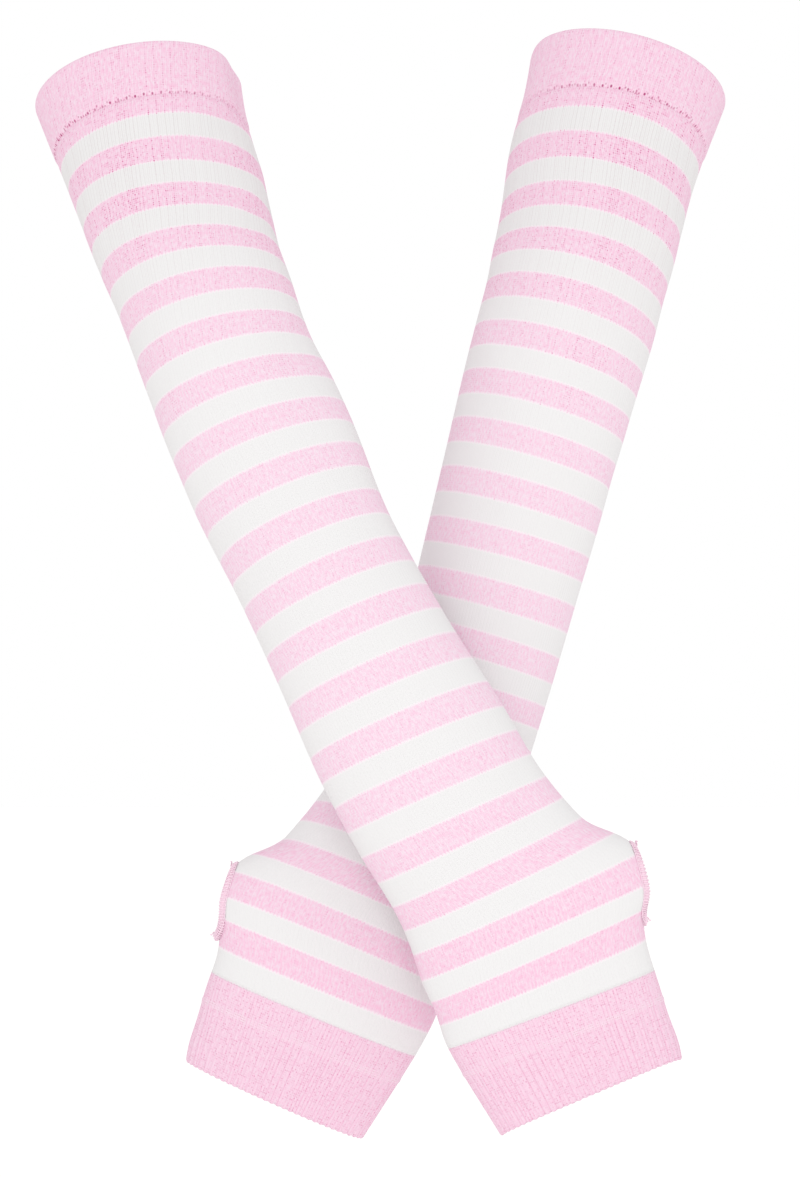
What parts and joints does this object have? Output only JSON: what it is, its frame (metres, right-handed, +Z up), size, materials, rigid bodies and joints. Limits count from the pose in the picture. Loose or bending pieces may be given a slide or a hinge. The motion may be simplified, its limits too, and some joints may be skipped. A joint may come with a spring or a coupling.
{
  "type": "pair of knitted arm warmers",
  "caption": "Striped knitted arm warmers, a pair of hollow forearm sleeves crossed at the wrists, each with a turned welt, a ribbed cuff and a thumb hole.",
  "frame": {"origin": "middle of the front sleeve's upper opening, where the forearm that holds it up goes in", "axes": "+Z up towards the elbows, -Y towards the viewer, who sees the backs of the hands, +X to the viewer's right"},
  "size_m": [0.2774, 0.1591, 0.4401],
  "materials": {
    "pink_welt": "matt double layer of fine jersey knit in pale pink yarn",
    "striped_jersey": "matt fine jersey knit in pale pink and white stripes",
    "pink_rib": "matt 1x1 rib knit in pale pink yarn",
    "pink_overlock": "matt overlocked thread in pink"
  },
  "bodies": {
    "root": {"front_welt": "pink_welt", "front_top_tube": "striped_jersey", "front_upper_tube": "striped_jersey", "front_middle_tube": "striped_jersey", "front_wrist_tube": "striped_jersey", "front_hand_tube": "striped_jersey", "front_cuff": "pink_rib", "front_thumb_edge": "pink_overlock", "rear_welt": "pink_welt", "rear_top_tube": "striped_jersey", "rear_upper_tube": "striped_jersey", "rear_middle_tube": "striped_jersey", "rear_wrist_tube": "striped_jersey", "rear_hand_tube": "striped_jersey", "rear_cuff": "pink_rib", "rear_thumb_edge": "pink_overlock"}
  },
  "joints": []
}
